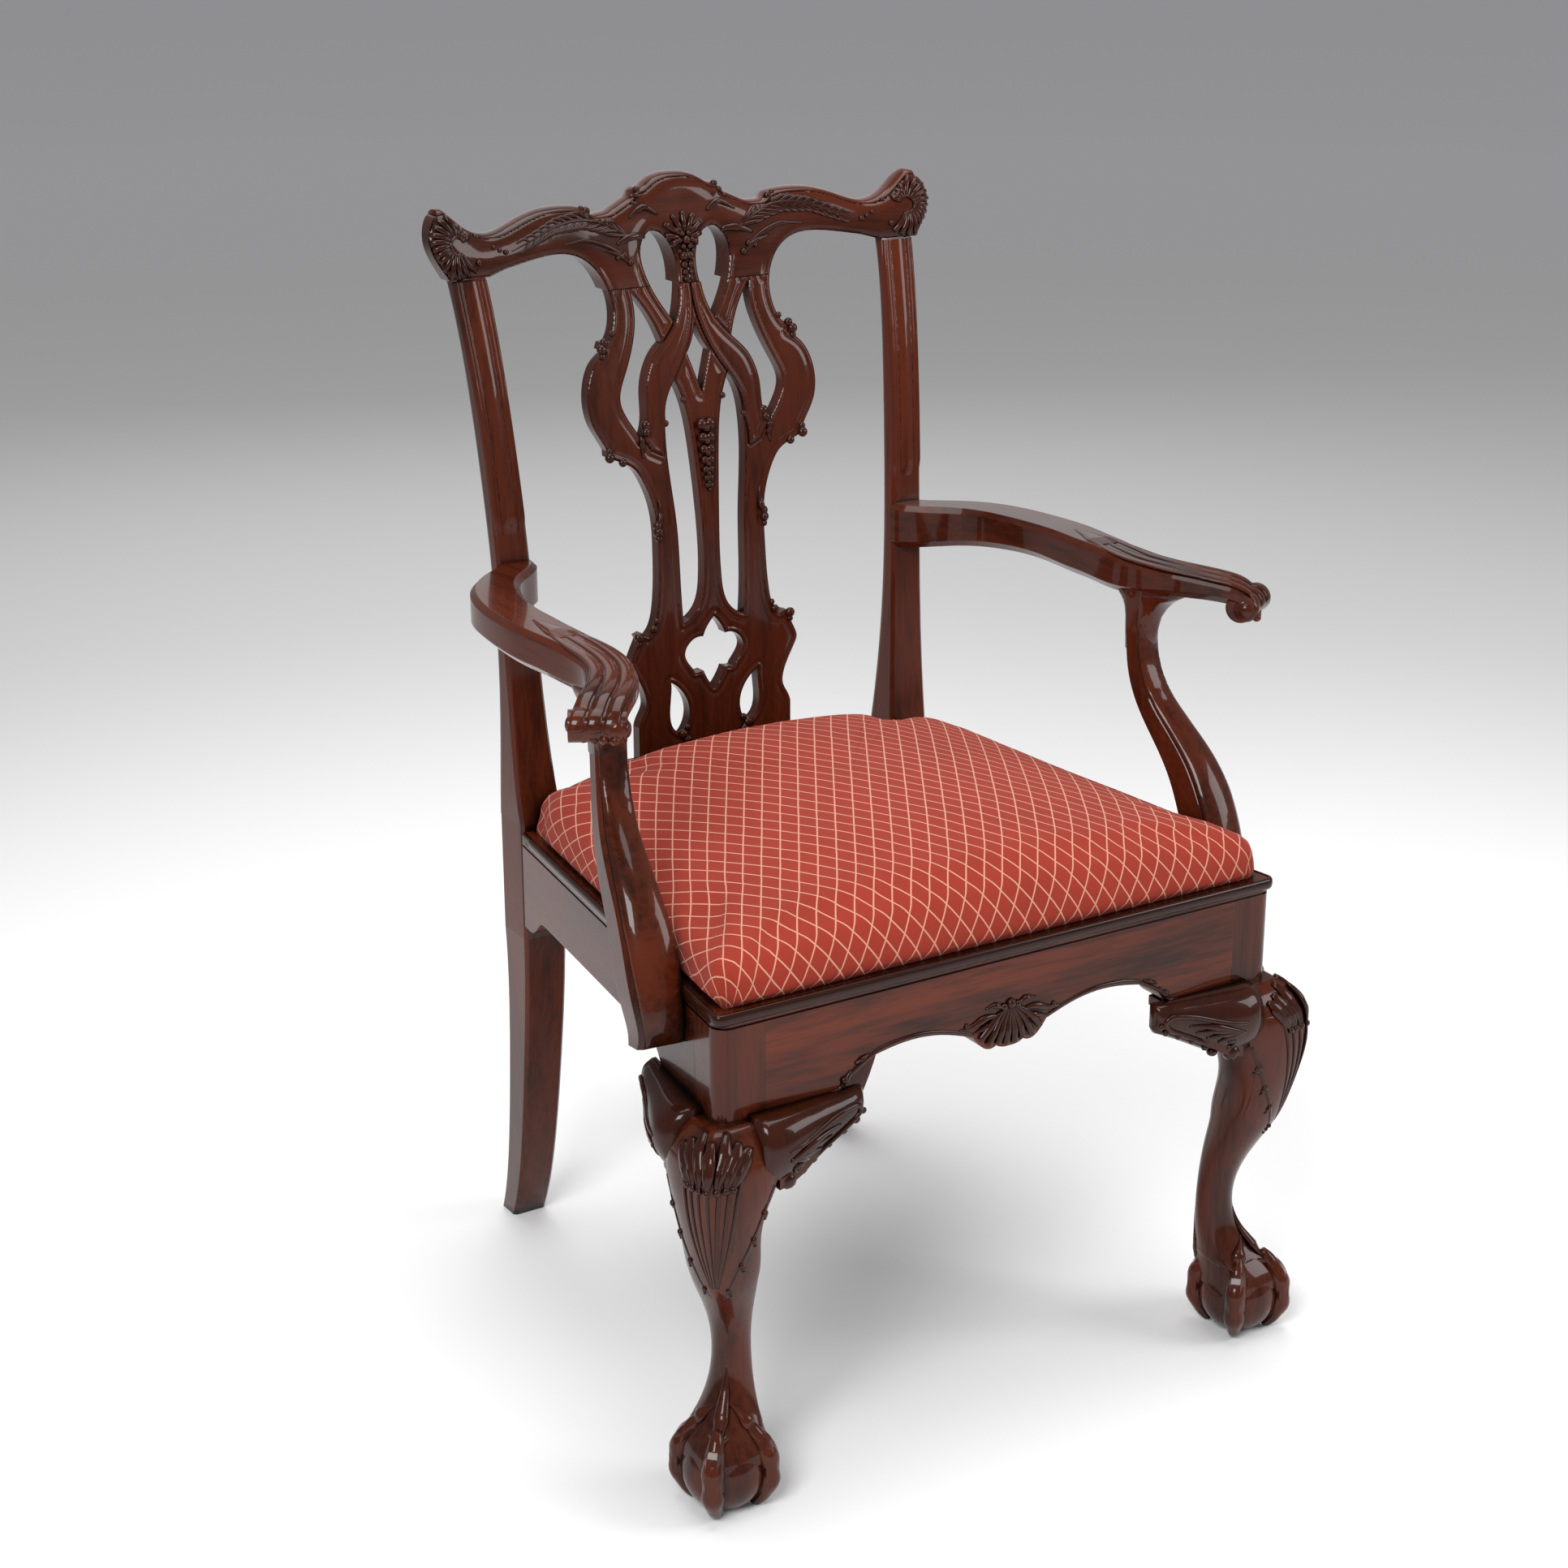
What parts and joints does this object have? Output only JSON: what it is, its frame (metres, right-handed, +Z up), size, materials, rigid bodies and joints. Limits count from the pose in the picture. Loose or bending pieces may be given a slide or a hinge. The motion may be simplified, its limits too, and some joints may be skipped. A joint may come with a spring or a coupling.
{
  "type": "dining armchair",
  "caption": "Carved wooden dining armchair with a pierced splat back, outswept scrolled arms, cabriole front legs with claw feet and a lift-out upholstered seat.",
  "frame": {"origin": "on the floor, at the centre of the chair's bounding box", "axes": "+Z up, -Y towards the front of the chair, +X to the right as seen from the front"},
  "size_m": [0.711, 0.6127, 1.016],
  "materials": {
    "mahogany": "french polished",
    "beech": "bare",
    "steel_screws": "plain",
    "blued_tacks": "blued",
    "jute_webbing": "woven",
    "hessian": "open weave",
    "stuffing": "fibre",
    "trellis_fabric": "woven",
    "black_cloth": "plain weave"
  },
  "bodies": {
    "chair_frame": {"arm_left": "mahogany", "arm_right": "mahogany", "arm_screws": "steel_screws", "arm_support_left": "mahogany", "arm_support_right": "mahogany", "arm_support_screws": "steel_screws", "back_post_left": "mahogany", "back_post_right": "mahogany", "back_seat_rail": "mahogany", "corner_block_back_left": "beech", "corner_block_back_right": "beech", "corner_block_front_left": "beech", "corner_block_front_right": "beech", "corner_block_screws": "steel_screws", "crest_rail": "mahogany", "front_leg_left": "mahogany", "front_leg_right": "mahogany", "front_seat_rail": "mahogany", "knee_bracket_front_left": "mahogany", "knee_bracket_front_right": "mahogany", "knee_bracket_side_left": "mahogany", "knee_bracket_side_right": "mahogany", "side_seat_rail_left": "mahogany", "side_seat_rail_right": "mahogany", "splat": "mahogany", "splat_shoe": "mahogany"},
    "slip_seat": {"seat_cover": "trellis_fabric", "seat_dust_cloth": "black_cloth", "seat_frame_back": "beech", "seat_frame_front": "beech", "seat_frame_side_left": "beech", "seat_frame_side_right": "beech", "seat_hessian": "hessian", "seat_stuffing": "stuffing", "seat_tacks": "blued_tacks", "seat_webbing": "jute_webbing"}
  },
  "joints": [
    {"name": "seat_lift", "type": "slide", "parent": "chair_frame", "child": "slip_seat", "axis": [0, 0, 1], "range_m": [0, 0.12]}
  ]
}
